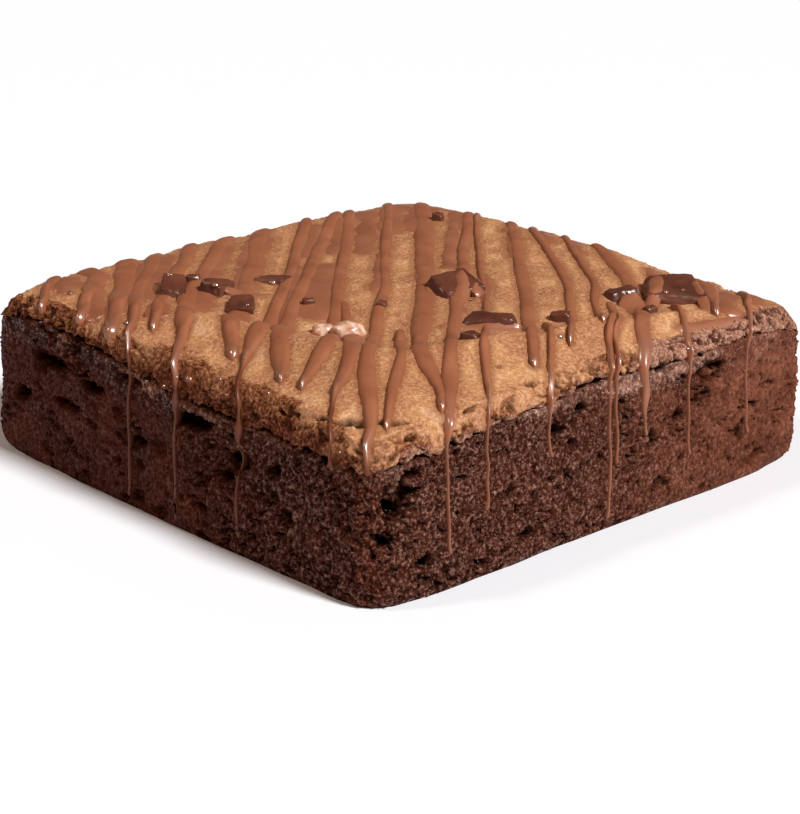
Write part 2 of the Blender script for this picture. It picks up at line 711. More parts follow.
chunk_nodes = [o for name, o in sorted(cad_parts.items()) if name.startswith("chocolate")]
cookie_solid = surface_of(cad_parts["cookie_layer"])
inner_half = HALF - LIP_INSET
corner_share = COOKIE_CORNER / inner_half
steps = np.linspace(-1, 1, COOKIE_SQUARES + 1)
grid_u, grid_v = [axis.ravel() for axis in np.meshgrid(steps, steps)]
ring_share = np.maximum(np.maximum(abs(grid_u), abs(grid_v)), 1e-9)
grid_border, _ = rounded_border(grid_u / ring_share, grid_v / ring_share, corner_share)
blend = (ring_share**6)[:, None]
plan = np.column_stack([grid_u, grid_v]) * (1 - blend) + grid_border * ring_share[:, None] * blend
top = np.column_stack([plan * inner_half, cast_down(cookie_solid, plan * inner_half)[:, 2]])
print(f"{len(top)} points, one every {2 * inner_half / COOKIE_SQUARES:.2f} mm")

# %% [markdown]
# The solid has seats cut for the chunks. On the real thing the dough closes round each chunk,
# so points that fell into a seat are raised again: each takes the mean of its neighbours, over
# and over, until the dent is filled like a stretched sheet.

# %% Fill the chunks' seats
SEAT_MARGIN = 0.9
COLLAR = 1.0
FILL_ROUNDS = 500

side = COOKIE_SQUARES + 1
heights = top[:, 2].reshape(side, side)
in_seat = np.zeros((side, side), bool)
for node in chunk_nodes:
    corners = np.array([v.co for v in node.data.vertices])[:, :2] / MM
    centre = corners.mean(0)
    axes = np.linalg.svd(corners - centre, full_matrices=False)[2]
    reach = abs((corners - centre) @ axes.T).max(0) + SEAT_MARGIN
    local = abs((top[:, :2] - centre) @ axes.T)
    seat = (local < reach).all(axis=1).reshape(side, side)
    collar = (local < reach + COLLAR).all(axis=1).reshape(side, side) & ~seat
    heights[seat] = np.nanmean(heights[collar])
    in_seat |= seat
for _ in range(FILL_ROUNDS):
    level = np.roll(heights, 1, 0) + np.roll(heights, -1, 0)
    level = level + np.roll(heights, 1, 1) + np.roll(heights, -1, 1)
    heights[in_seat] = level[in_seat] / 4
top[:, 2] = heights.ravel()
print(f"{int(in_seat.sum())} points raised over the chunks' seats")

# %% Turn the cookie's skin over its edge
last = COOKIE_SQUARES
edge_run = np.arange(last)
loop = np.concatenate(
    [edge_run, edge_run * side + last, last * side + last - edge_run, (last - edge_run) * side]
)
_, lip_out = border_columns(COOKIE_SQUARES, corner_share)
lip_top = top[loop]
below = cast(cookie_solid, lip_top - UP * 0.3, np.tile(-UP, (len(loop), 1)))
heart = (lip_top + below) / 2
lip_rings = []
for row in range(1, LIP_ROWS + 1):
    angle = math.pi / 2 - math.pi * row / LIP_ROWS
    direction = np.column_stack([lip_out * math.cos(angle), np.full(len(loop), math.sin(angle))])
    lip_rings.append(cast(cookie_solid, heart, direction))
for share in (0.8, 0.45):
    under = np.column_stack([lip_top[:, :2] * share, np.zeros(len(loop))])
    lip_rings.append(cast(cookie_solid, under, np.tile(UP, (len(loop), 1))))
cookie_points = np.concatenate([top, *lip_rings, [lip_rings[-1].mean(0)]])
print("missed rays:", int(np.isnan(cookie_points).any(axis=1).sum()))

# %% Close the cookie's skin, and say how high each point lies above the lip
corner = (np.arange(last)[:, None] * side + np.arange(last)).ravel()
cookie_faces = np.stack([corner, corner + 1, corner + side + 1, corner + side], 1).tolist()
first_lip = len(top)
cookie_around = len(loop)
here, after = np.arange(cookie_around), (np.arange(cookie_around) + 1) % cookie_around
hem = [first_lip + here, first_lip + after, loop[after], loop[here]]
cookie_faces += np.stack(hem, 1).tolist()
cookie_faces += join_rings(len(lip_rings), cookie_around, first_lip)
last_point = len(cookie_points) - 1
cookie_faces += fan(last_point, last_point - cookie_around, cookie_around, upwards=False)

MOST_ABOVE = 6.0
above = np.full(len(cookie_points), MOST_ABOVE)
cookie_rough = np.ones(len(cookie_points))
lip_floor = lip_rings[LIP_ROWS - 5][:, 2]
for k, ring in enumerate(lip_rings):
    first = first_lip + k * cookie_around
    above[first : first + cookie_around] = np.clip(ring[:, 2] - lip_floor, 0, MOST_ABOVE)
    cookie_rough[first : first + cookie_around] = 1.0 if k < LIP_ROWS - 2 else 0.0
cookie_rough[-1] = 0.0
# The far half of the right lip was cut clean, so it is smoother.
further_back = np.clip((cookie_points[:, 1] - 4) / 14, 0, 1)
cookie_rough *= 1 - 0.55 * further_back * (cookie_points[:, 0] > 34)

# %% Tear the dough over the lip
# Cracks, most of them round the near corner: start, end and half width.
TEARS = [
    ((28.6, -38.9, 21.3), (31.0, -37.9, 21.6), 0.34),
    ((31.0, -37.9, 21.6), (34.0, -36.4, 21.7), 0.46),
    ((34.4, -35.4, 21.8), (36.0, -34.0, 21.9), 0.4),
    ((36.0, -34.0, 21.9), (38.7, -31.4, 21.7), 0.22),
    ((22.0, -39.4, 21.0), (28.6, -38.9, 21.3), 0.2),
    ((30.0, -39.3, 20.3), (31.4, -39.0, 20.0), 0.45),
    ((33.4, -38.6, 19.7), (34.2, -38.3, 20.3), 0.4),
    ((36.8, -37.0, 19.4), (37.0, -36.5, 20.1), 0.4),
    ((39.0, -34.2, 20.4), (39.3, -33.0, 20.2), 0.3),
    ((38.6, -26.0, 21.4), (38.9, -22.4, 22.0), 0.28),
    ((37.6, -12.4, 22.6), (38.8, -9.0, 21.6), 0.34),
    ((38.4, -3.6, 21.6), (38.8, 1.6, 20.8), 0.3),
]
bent = cookie_points + 0.26 * np.sin(cookie_points[:, [1, 2, 0]] * 1.7)
bent += 0.16 * np.sin(cookie_points[:, [2, 0, 1]] * 4.3)
torn = np.zeros(len(cookie_points))
for start, end, half_width in TEARS:
    start, end = np.array(start), np.array(end)
    share = np.clip((bent - start) @ (end - start) / ((end - start) @ (end - start)), 0, 1)
    away = np.linalg.norm(bent - start - share[:, None] * (end - start), axis=1)
    torn = np.maximum(torn, np.clip(1.6 - away / half_width, 0, 1))
cookie_skin = make_piece(
    "cookie_dough_skin", cookie_points, cookie_faces, above=above, rough=cookie_rough, torn=torn
)
print(f"{int((torn > 0).sum())} points in {len(TEARS)} tears")

# %% [markdown]
# ## Dough relief
#
# A cookie's top heaves gently where dough mounded up, carries a fine dry grain, and has a few
# open pits. Its lip is far rougher: it tore when the square was cut, and it hangs in lobes over
# the brownie. So the lip's share of the roughness grows as the height above it falls.

# %% Dough relief tree
DOUGH = {
    "Mound": 0.35,
    "Wrinkle": 0.2,
    "Grain": 0.12,
    "Pit depth": 0.5,
    "Tear": 0.75,
    "Crumb": 0.45,
    "Fissure": 0.7,
    "Torn depth": 1.2,
    "Lobe": 1.5,
    "Sink": 0.05,
}
tree, size = shape_tree("dough_relief", DOUGH)
place = place_in_mm(tree)
above_lip, rough, torn_open = (add(tree, NAMED, [name]) for name in ("above", "rough", "torn"))
near_lip = add(tree, RANGE, [above_lip, 4.0, 0.8])

ragged = add(tree, MATH, [signed_noise(tree, place, 1.6, 5), size["Tear"]], operation="MULTIPLY")
grit = add(tree, CELLS, {"Vector": place, "Scale": 1 / 0.8})
grit = add(tree, MATH, [0.45, grit], operation="SUBTRACT")
ragged = build_up(tree, ragged, (grit, size["Crumb"]))
relief = add(tree, MATH, [signed_noise(tree, place, 7, 1), size["Mound"]], operation="MULTIPLY")
relief = build_up(
    tree,
    relief,
    (signed_noise(tree, place, 1.8, 2), size["Wrinkle"]),
    (signed_noise(tree, place, 0.7, 2), size["Grain"]),
    (ragged, near_lip),
)

pit = add(tree, CELLS, {"Vector": place, "Scale": 1 / 2.6})
chance = add(tree, "FunctionNodeSeparateColor", [pit.outputs["Color"]])
radius = add(tree, RANGE, [chance, 0.72, 1.0, 0.0, 0.3])
edge = add(tree, MATH, [radius, pit], operation="SUBTRACT")
pits = add(tree, RANGE, [edge, 0.0, 0.16], interpolation_type="SMOOTHSTEP")
split = add(tree, MATH, [signed_noise(tree, place, 3.4, 3)], operation="ABSOLUTE")
split = add(tree, RANGE, [split, 0.07, 0.015])
split = add(tree, MATH, [split, near_lip], operation="MULTIPLY")
down = build_up(
    tree,
    size["Sink"],
    (pits, size["Pit depth"]),
    (split, size["Fissure"]),
    (torn_open, size["Torn depth"]),
)
in_metres = add(tree, MATH, [rough, MM], operation="MULTIPLY")
move = add(tree, MATH, [relief, down], operation="SUBTRACT")
move = add(tree, MATH, [move, in_metres], operation="MULTIPLY")
lobe = signed_noise(tree, place, 3.8, 2)
for factor in (size["Lobe"], near_lip, in_metres):
    lobe = add(tree, MATH, [lobe, factor], operation="MULTIPLY")
hang = add(tree, "ShaderNodeCombineXYZ", {"Z": lobe})
offset = add(tree, VECTOR, [along_normal(tree, move), hang], operation="ADD")

# %% Keep how hollow the dough is, and run the tree
hollow = add(tree, MATH, [pits, 0.7], operation="MULTIPLY")
finish_relief(tree, size["Geometry"], offset, hollow, (split, torn_open), cookie_dough)
run_tree(cookie_skin, tree, DOUGH)

# %% [markdown]
# ## The camera
#
# The bar is seen from a little above, with its lowest corner nearest. The camera stands about
# four bar widths away, so the far corner looks only a little smaller than the near one.

# %% Place the camera
TURN = math.radians(47.41)
RISE = math.radians(19.21)
DISTANCE = 313.5
TO_THE_RIGHT = 0.6
UPWARDS = 6.2
SENSOR = 36.0
LENS = 97.297297

away = np.array([math.sin(TURN) * math.cos(RISE), -math.cos(TURN) * math.cos(RISE), math.sin(RISE)])
right = np.array([math.cos(TURN), math.sin(TURN), 0.0])
upward = np.cross(away, right)
camera = place_in_scene("camera", bpy.data.cameras.new("camera"))
camera.location = (away * DISTANCE + right * TO_THE_RIGHT + upward * UPWARDS) * MM
camera.rotation_euler = Vector(away).to_track_quat("Z", "Y").to_euler()
camera.data.sensor_width = SENSOR
camera.data.lens = LENS
camera.data.clip_start = 0.01
bpy.context.scene.camera = camera
print(f"camera lens {camera.data.lens:.1f} mm, {DISTANCE:.0f} mm away")

# %% [markdown]
# ## Chocolate chunks
#
# The chunks are pieces broken from a bar. Their solids have the right planes, so each skin is a
# copy of its solid, cut finer and dented a little all over, most visibly along the edges, where
# chocolate chips. The solids' loose triangles are merged first, so that the copy stays closed.

# %% Chunk relief tree
CHUNK = {"Dent": 1.0}
tree, size = shape_tree("chunk_relief", CHUNK)
merged = {"Geometry": size["Geometry"], "Distance": 0.01 * MM}
merged = add(tree, "GeometryNodeMergeByDistance", merged)
finer = add(tree, "GeometryNodeSubdivideMesh", {"Mesh": merged, "Level": 3})
place = add(tree, "GeometryNodeInputPosition")
move = add(tree, NOISE, [place, per_mm(2.2), 4])
move = add(tree, MATH, [move, 0.55], operation="SUBTRACT")
for factor in (size["Dent"], MM):
    move = add(tree, MATH, [move, factor], operation="MULTIPLY")
offset = along_normal(tree, move)
moved = add(tree, "GeometryNodeSetPosition", {"Geometry": finer, "Offset": offset})
soft = add(tree, "GeometryNodeSetShadeSmooth", {"Geometry": moved, "Shade Smooth": True})
finish_tree(tree, soft, dark_chocolate)

chunks = []
for node in chunk_nodes:
    chunk = place_in_scene(node.name + "_broken", node.data.copy())
    chunks.append(run_tree(chunk, tree, CHUNK))

# %% [markdown]
# ## Milk chocolate drizzle
#
# Melted chocolate was waved over the square in near-parallel lines, from the far corner towards
# the near one. At the border each line sags over the shoulder as a tongue that narrows to its
# tip, and some of it ran on down the side as a thin drip. A bevelled curve would float over the
# dents or cut through them. So each line is one ribbon: a row of rays across it finds the dough
# under every step, and the ribbon's domed cross-section is laid on top of that. Over the border
# the rays swing from straight down to level, so the ribbon follows the wall below.

# %% Where a ribbon runs
STEP = 0.55
EDGE_INSET = 4.0
TURN_STEPS = 14
TURN_RUN = TURN_STEPS * STEP
BEND_RUN = 14.0
MOST_SLIP = 3.4
SWEEP = np.array([1.0, -1.0]) / math.sqrt(2)
ASIDE = np.array([1.0, 1.0]) / math.sqrt(2)
FRONT, RIGHT = np.array([0.0, -1.0]), np.array([1.0, 0.0])
ABOVE_ALL = 60.0
rng = np.random.default_rng(7)

skins = surface_of(brownie_skin, cookie_skin)
skins_and_chunks = surface_of(brownie_skin, cookie_skin, *chunks)


def on_top(x, y):
    """The skin's highest point here."""
    return np.array(skins.ray_cast(Vector((x, y, ABOVE_ALL)), Vector((0, 0, -1)))[0])


def wander(length, wave, size):
    """A slow random drift along a run of steps."""
    knots = rng.normal(0, size, max(4, int(length * STEP / wave) + 4))
    places = np.linspace(0, len(knots) - 1, length)
    return np.interp(places, np.arange(len(knots)), knots)


def over_border(end, edge, slip, reach, foot=None):
    """Aim points and outward directions from the shoulder, round the border and down a side."""
    along = np.array([-edge[1], edge[0]])
    along *= np.sign(along @ SWEEP) * np.sign(edge @ SWEEP)
    turns = np.linspace(0, math.pi / 2, TURN_STEPS + 1)[1:]
    pivots = end + np.outer(np.sin(turns) * slip, along)
    pivots = np.column_stack([pivots, np.full(len(turns), on_top(*end)[2] - EDGE_INSET)])
    outs = np.column_stack([np.outer(np.sin(turns), edge), np.cos(turns)])
    if foot is not None:
        reach = pivots[-1][2] - foot
    drops = np.arange(STEP, max(reach, STEP) + 0.01, STEP)
    falls = pivots[-1] - np.outer(drops, UP)
    lean = wander(len(drops), 5.0, 0.1) * np.clip(drops / 3, 0, 1)
    hook = np.clip(1 - (drops[-1] - drops) / 2.0, 0, 1) ** 2
    lean += rng.choice([-0.4, 0.4]) * hook
    falls[:, :2] += np.outer(lean, along)
    level = np.tile([*edge, 0.0], (len(drops), 1))
    return np.concatenate([pivots, falls]), np.concatenate([outs, level])


def run_line(start, back, crest, tip, reach, foot, back_reach):
    """Aim points and outward directions along a line, from its back end to its front tip."""
    shoulder = (HALF - EDGE_INSET) * math.sqrt(2)
    first = start if start is not None else abs(back) - shoulder
    final = shoulder - abs(tip)
    steps = int((final - first) / STEP)
    along = np.linspace(first, final, steps)
    swing = np.sin(np.clip((along - first) / (final - BEND_RUN - first), 0, 1) * math.pi / 2)
    bend = ease(np.clip(1 - (final - along) / BEND_RUN, 0, 1))
    fade = np.sin(np.linspace(0, math.pi, steps)) ** 0.4
    across = back + (crest - back) * swing + (tip - crest) * bend + wander(steps, 17.0, 0.3) * fade
    route = np.outer(along, SWEEP) + np.outer(across, ASIDE)
    slip = min(MOST_SLIP, (abs(tip) * math.sqrt(2) + EDGE_INSET) / 2)
    ahead = over_border(route[-1], FRONT if tip < 0 else RIGHT, slip, reach, foot)
    heart = ahead[0][0, 2]
    aims = [np.column_stack([route, np.full(steps, heart)]), ahead[0]]
    outs = [np.tile(UP, (steps, 1)), ahead[1]]
    back_count = 0
    if start is None:
        behind = over_border(route[0], -RIGHT if back < 0 else -FRONT, EDGE_INSET * 0.6, back_reach)
        aims[0][:, 2] = np.linspace(behind[0][0, 2], heart, steps)
        aims.insert(0, behind[0][::-1])
        outs.insert(0, behind[1][::-1])
        back_count = len(behind[0])
    return np.concatenate(aims), np.concatenate(outs), back_count, steps


# %% Lay a ribbon on the surface
ACROSS = np.linspace(-1, 1, 11)
UNDER = ACROSS[::-1][1:-1:3]
SKIN_SINK = 0.25
RAY_START = 40.0


def smooth_rows(values, rounds):
    """Evens out values along a ribbon, as surface tension does."""
    for _ in range(rounds):
        padded = np.concatenate([values[:1], values, values[-1:]])
        values = (padded[:-2] + 2 * padded[1:-1] + padded[2:]) / 4
    return values


def high_points(values):
    """The highest of each value and its neighbours: chocolate bridges the gaps in the crumb."""
    for _ in range(2):
        padded = np.concatenate([values[:1], values, values[-1:]])
        values = np.maximum(values, (np.maximum(padded[:-2], padded[2:]) + values) / 2)
    return values


def lay_ribbon(surface, aims, outs, width, thickness, fullness=3):
    """Rings of points of a ribbon of these widths and thicknesses over a surface."""
    base = cast(surface, aims + outs * RAY_START, -outs)
    met = ~np.isnan(base).any(axis=1)
    base, aims, outs, width, thickness = (a[met] for a in (base, aims, outs, width, thickness))
    forward = np.gradient(smooth_rows(base, 4), axis=0)
    sideways = np.cross(forward, outs)
    sideways /= np.linalg.norm(sideways, axis=1)[:, None]
    centre = smooth_rows(high_points(np.einsum("ij,ij->i", base - aims, outs)), 8)
    heights = []
    for share in ACROSS:
        start = aims + sideways * (share * width / 2)[:, None]
        found = cast(surface, start + outs * RAY_START, -outs)
        height = np.einsum("ij,ij->i", found - aims, outs)
        height = np.where(np.isnan(height), centre - 1, height)
        height = high_points(np.clip(height, centre - 1.5, centre + 0.5))
        heights.append(smooth_rows(height, 8))
    heights = np.array(heights)
    heights[1:-1] = (heights[:-2] + 2 * heights[1:-1] + heights[2:]) / 4
    rows = []
    for share, height in zip(ACROSS, heights):
        dome = thickness * (1 - abs(share) ** fullness) - SKIN_SINK
        across = sideways * (share * width / 2)[:, None]
        rows.append(aims + across + outs * (height + dome)[:, None])
    for share in UNDER:
        across = sideways * (share * width / 2)[:, None]
        rows.append(aims + across + outs * (centre - 1.1)[:, None])
    return np.stack(rows, 1)


def worn_block(centre, half_sizes, turn, corners, dent):
    """Points and faces of a block, from sharp corners (near 0.2) to an egg (1)."""
    rings, around = 14, 20
    points = []
    for rise in np.linspace(math.pi / 2, -math.pi / 2, rings + 2)[1:-1]:
        level = math.cos(rise)
        for angle in np.arange(around) * 2 * math.pi / around:
            points.append((level * math.cos(angle), level * math.sin(angle), math.sin(rise)))
    points = np.array(points + [(0, 0, 1), (0, 0, -1)])
    points = np.sign(points) * abs(points) ** corners
    points *= 1 + dent * np.sin(points @ (2.9, 4.3, 3.1) + centre[0])[:, None]
    points *= 1 + dent * np.sin(points @ (-5.1, 2.7, 6.3) + centre[1])[:, None]
    c, d = math.cos(turn), math.sin(turn)
    turned = (points * half_sizes) @ np.array([[c, d, 0], [-d, c, 0], [0, 0, 1]])
    return turned + centre, closed_faces(rings, around)


# %% [markdown]
# Each line has its place across the sweep, and where it crosses the border it may have slipped
# along it. It is widest at the crest and narrows to the tip of its tongue. The long ones run on
# as thin drips, some with a bead, and end in a small hook where the last drop set. Where lines
# lay close together they flowed into one another and set as flat pools.

# %% The lines
# Start along the sweep (none: the far edge). Place across it at the back, the crest and the tip.
# Width on top, at the crest and at the tip. Run of the tongue past the shoulder. Where a line ran
# on as a drip, the height of its foot, and of its bead if it has one.
LINES = [
    (None, -48.6, -47.0, -46.6, 2.4, 2.0, 1.3, 3.0),
    (None, -44.4, -42.2, -41.6, 3.0, 2.6, 1.6, 4.0),
    (None, -39.6, -37.8, -36.8, 3.4, 3.0, 2.0, 4.5),
    (None, -36.0, -35.0, -34.0, 2.4, 2.2, 0.8, 2.5, 0.8),
    (None, -31.4, -31.4, -30.9, 2.2, 2.0, 1.0, 0.5),
    (None, -26.4, -27.8, -26.8, 2.6, 2.0, 0.9, 4.5, 0.6, 17.8),
    (None, -21.8, -20.4, -19.0, 2.8, 2.5, 1.2, -2.2),
    (None, -15.4, -15.8, -17.8, 1.9, 2.8, 0.8, -2.6, 2.2, 17.2),
    (None, -11.2, -13.4, -12.3, 2.0, 2.9, 0.7, -1.0),
    (None, -9.2, -7.4, -9.7, 1.8, 2.7, 0.6, -0.8),
    (8.0, -6.8, -4.0, -5.5, 1.4, 2.6, 0.6, -2.5, 16.4),
    (None, -3.4, -1.7, -0.7, 1.6, 2.3, 1.0, 3.4, 18.6),
    (19.0, 1.4, 2.2, 1.1, 1.2, 1.7, 0.5, 1.0),
    (None, 2.1, 4.4, 7.4, 2.9, 2.5, 0.6, 2.4),
    (None, 9.6, 8.4, 8.3, 1.8, 2.4, 1.1, 5.0, 3.9),
    (None, 10.8, 12.5, 13.0, 0.9, 1.5, 0.7, 1.5, 8.2),
    (None, 16.2, 18.3, 18.8, 1.9, 1.9, 1.1, -0.6),
    (15.0, 20.2, 20.8, 20.8, 1.0, 1.2, 0.9, 6.5, 12.2),
    (None, 19.4, 24.0, 23.5, 1.4, 1.5, 0.6, -3.2),
    (None, 24.2, 28.0, 27.8, 1.2, 1.1, 0.6, -5.0),
    (6.0, 29.4, 29.6, 28.5, 1.2, 1.6, 0.6, 5.0, 1.2),
    (14.0, 30.4, 30.2, 29.2, 0.8, 0.9, 0.5, 4.0, 8.0),
    (None, 28.8, 33.2, 33.2, 2.0, 2.6, 1.3, 10.0, 10.8),
    (5.0, 36.6, 37.8, 40.2, 1.3, 1.6, 0.7, 6.5, 5.6),
    (None, 42.4, 44.0, 43.8, 2.2, 2.0, 0.9, 0.5),
    (None, 48.4, 47.8, 47.8, 1.8, 1.4, 0.6, 5.0, 5.8),
]
CREST_ALONG = 21.0
TOP_THICKNESS = 0.6
TIP_THICKNESS = 0.75
LEAST_THICKNESS = 0.02
DRIP_WIDTH = 0.5
IN_SIGHT = 0.82
BACK_REACHES = {-1.5: 0.35, 0.0: 0.3, 1.5: 0.2, 9.0: 0.15}

drizzle_points, drizzle_faces, wetness, thinness = [], [], [], []


def keep(points, faces, wet, film):
    """Adds points and faces to the drizzle, with how glossy and how thin it is at each point."""
    first = sum(len(block) for block in drizzle_points)
    drizzle_faces.extend([first + k for k in face] for face in faces)
    drizzle_points.append(points)
    wetness.append(wet)
    thinness.append(film)


def keep_ribbon(rows, wet, film):
    """Adds a ribbon, closed by a point at both ends, from its rings and a number for each."""
    count, ribbon_around = rows.shape[:2]
    points = np.concatenate([rows.reshape(-1, 3), [rows[0].mean(0)], [rows[-1].mean(0)]])
    numbers = [
        np.concatenate([np.repeat(each[:count], ribbon_around), [each[0], each[-1]]])
        for each in (wet, film)
    ]
    faces = [face[::-1] for face in closed_faces(count, ribbon_around)]
    keep(points, faces, *numbers)


def hump(run, middle, half_width):
    """One at the middle of a run, falling off smoothly either side of it."""
    return np.exp(-(((run - middle) / half_width) ** 2))


def tip_profile(left, width):
    """Half a round end: how far the outline is open at these distances from the tip."""
    share = np.clip(left / (0.55 * width + 0.3), 0, 1)
    return np.sqrt(np.clip(1 - (1 - share) ** 2, 0.01, 1))


# %% Lay the lines
for start, back, crest, tip, top_width, crest_width, tip_width, tongue, *drip_heights in LINES:
    foot, bead = (drip_heights + [None, None])[:2]
    back_reach = rng.choice(list(BACK_REACHES), p=list(BACK_REACHES.values()))
    past_turn = max(tongue - TURN_RUN, 0.0)
    aims, outs, back_count, top_count = run_line(start, back, crest, tip, past_turn, foot, back_reach)
    if foot is None:
        kept_rows = back_count + top_count + int(tongue / STEP)
        aims, outs = aims[:kept_rows], outs[:kept_rows]
    if start is None and back_reach < 0:
        short = int(-back_reach / STEP)
        aims, outs = aims[short:], outs[short:]
        back_count -= short
    # The run counts millimetres along the line, with zero at the shoulder.
    run = (np.arange(len(aims)) - back_count - top_count) * STEP
    crest_run = min(CREST_ALONG - (HALF - EDGE_INSET) * math.sqrt(2) + abs(tip), -5.0)
    to_crest = np.clip((run - crest_run + 1.5) / 2.5, 0, 1)
    to_tip = np.clip((run + BEND_RUN - 3) / (tongue + BEND_RUN - 3), 0, 1) ** 1.7
    width = top_width + (crest_width - top_width) * to_crest + (tip_width - crest_width) * to_tip
    width *= 1 + wander(len(aims), 6.0, 0.09)
    width /= IN_SIGHT + (1 - IN_SIGHT) * to_crest
    drip = np.clip((run - tongue) / 3.0, 0, 1)
    width = width * (1 - drip) + DRIP_WIDTH * drip
    if bead is not None:
        bead_run = TURN_RUN + aims[back_count + top_count][2] - bead
        width += 0.8 * hump(run, bead_run, 1.1)
    before = np.clip(back_count * STEP - 5.5 - (run - run[0]), 0, None)
    width *= 0.35 + 0.65 * np.exp(-before / 3.0)
    ends = tip_profile(run[-1] - run, width[-1]) * tip_profile(run - run[0], width[0])
    if foot is not None:
        width += 0.22 * hump(run[-1] - run, 0.5, 0.6)

    sag = np.clip((run + BEND_RUN) / (tongue + BEND_RUN), 0, 1)
    thickness = TOP_THICKNESS + (TIP_THICKNESS - TOP_THICKNESS) * sag
    thickness = np.minimum(thickness, 0.3 + 0.45 * width) * ends + LEAST_THICKNESS
    drop_run = run[-1] - 1.1 if foot is None else tongue - 1.0
    thickness += 0.3 * hump(run, crest_run + 1.5, 1.3) * ends
    thickness += 0.35 * hump(run, drop_run, 1.1) * ends

    wet = hump(run, min(tongue - 1.0, 2.0), 2.2)
    if tongue < 5:
        wet = np.maximum(wet, 0.9 * hump(run, tongue - 0.8, 1.0))
    wet = np.maximum(wet, hump(run[-1] - run, 0.6, 0.8))
    if bead is not None:
        wet = np.maximum(wet, hump(run, bead_run, 1.2))
    film = drip * (1.0 if tip < 0 else 0.4)
    keep_ribbon(lay_ribbon(skins, aims, outs, width * ends, thickness), wet, film)
print(f"{len(LINES)} lines, {len(drizzle_faces)} faces")

# %% Lay the pools
POOL_THICKNESS = 0.42
# Start and end of each pool, as its place across the sweep and along it, and its width.
POOLS = [
    (-45.8, -5.0, -45.0, 5.0, 4.4),
    (-40.6, 3.0, -39.4, 14.0, 3.0),
    (-36.6, -12.0, -36.4, 15.0, 4.6),
    (-34.2, -16.0, -34.6, 9.0, 5.4),
    (-30.9, 9.0, -30.2, 18.0, 3.6),
    (-26.2, -22.0, -26.4, -2.0, 4.0),
    (-27.8, 2.0, -26.0, 12.0, 5.0),
    (-21.4, -27.0, -21.8, -8.0, 4.6),
    (-21.4, -10.0, -20.6, 6.0, 4.8),
    (-14.0, -34.0, -13.9, -14.0, 3.6),
    (-15.0, -10.0, -13.4, 18.0, 2.6),
    (-9.8, -38.0, -9.4, -16.0, 3.4),
    (-10.4, -12.0, -10.0, 15.0, 4.6),
    (-6.4, -43.0, -5.4, -16.0, 4.0),
    (-2.9, -46.0, -2.6, 3.0, 2.3),
    (-2.2, -49.0, -2.0, -28.0, 6.0),
    (2.6, -49.0, 2.2, -29.0, 6.0),
    (7.2, -44.0, 7.2, -9.0, 2.6),
    (8.8, -43.0, 9.4, -31.0, 4.4),
    (9.6, -12.0, 9.0, 13.0, 2.0),
    (16.4, -34.0, 16.8, -14.0, 2.8),
    (20.4, -32.0, 21.8, -22.0, 2.6),
    (25.2, -26.0, 26.6, -16.0, 2.0),
    (12.6, -4.0, 12.2, 8.0, 1.6),
    (32.8, 3.0, 33.6, 12.0, 3.4),
    (36.8, -14.0, 35.2, 6.6, 1.7),
    (3.6, -9.0, 4.3, 4.8, 2.2),
    (11.9, -6.0, 11.8, 5.0, 1.5),
    (6.4, 17.8, 17.8, 16.9, 1.3),
    (-33.4, -4.0, -32.0, 4.0, 1.6),
    (-24.0, 4.0, -17.4, 6.2, 1.4),
    (41.9, -9.0, 43.0, 7.0, 2.0),
    (45.6, -5.0, 45.8, 7.0, 3.8),
    (37.8, 13.8, 47.2, 6.4, 1.2),
    (49.0, -4.0, 50.0, 3.0, 3.2),
]

for start_across, start, end_across, end, pool_width in POOLS:
    steps = int(math.hypot(end - start, end_across - start_across) / STEP)
    share = np.linspace(0, 1, steps)
    drift = start_across + (end_across - start_across) * share + wander(steps, 12.0, 0.35)
    route = np.outer(start + (end - start) * share, SWEEP) + np.outer(drift, ASIDE)
    aims = np.column_stack([route, np.full(steps, 15.0)])
    run = np.arange(steps) * STEP
    ends = tip_profile(run[-1] - run, pool_width) * tip_profile(run, pool_width)
    width = pool_width / IN_SIGHT * (1 + wander(steps, 3.5, 0.2)) * ends
    thickness = POOL_THICKNESS * ends + LEAST_THICKNESS
    rows = lay_ribbon(skins_and_chunks, aims, np.tile(UP, (steps, 1)), width, thickness, fullness=2)
    keep_ribbon(rows, np.full(steps, 0.2), np.zeros(steps))
print(f"{len(POOLS)} pools")

# %% Set the beads
LIP_HEIGHT = 23.4
